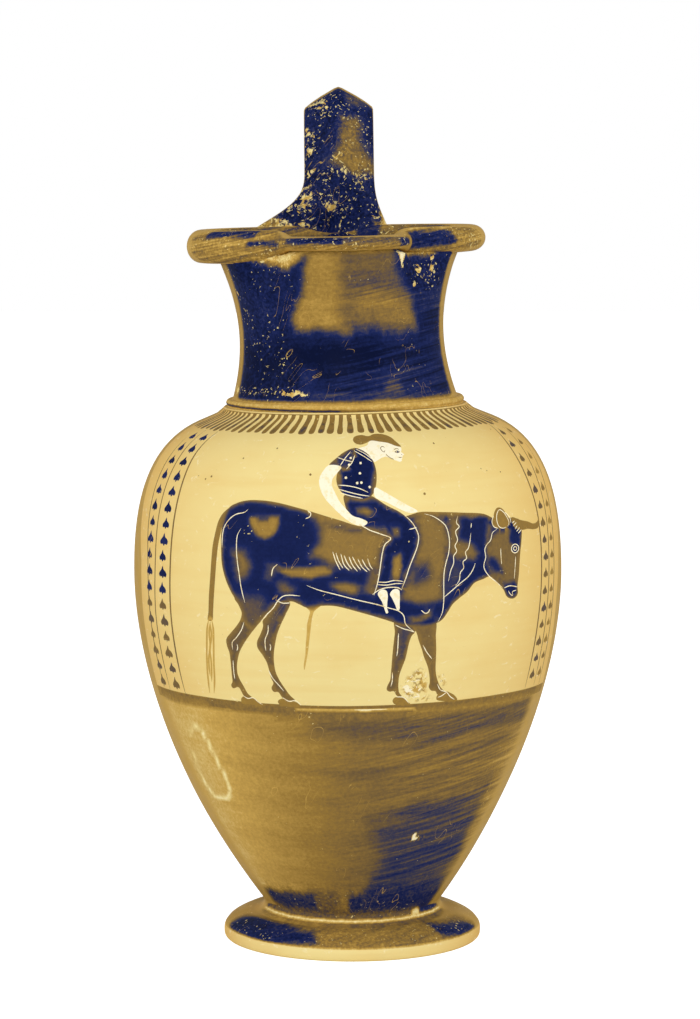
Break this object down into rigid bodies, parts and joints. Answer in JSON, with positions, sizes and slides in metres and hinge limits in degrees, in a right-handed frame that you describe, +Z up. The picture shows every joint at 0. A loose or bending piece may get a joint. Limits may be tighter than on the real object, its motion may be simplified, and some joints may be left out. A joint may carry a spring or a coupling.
{
  "type": "wine jug",
  "caption": "Ancient painted wine jug with a disc foot, egg-shaped body, concave neck, three-lobed mouth and a high strap handle.",
  "frame": {"origin": "on the ground, under the middle of the jug's bounding box", "axes": "+Z up; -Y towards the spout and the painted panel, +Y towards the handle; +X to the right of someone who looks at the panel"},
  "size_m": [0.1282, 0.1282, 0.256],
  "materials": {
    "fired_clay": "burnished buff clay with worn, glossy dark slip"
  },
  "bodies": {
    "root": {"wine_jug": "fired_clay"}
  },
  "joints": []
}
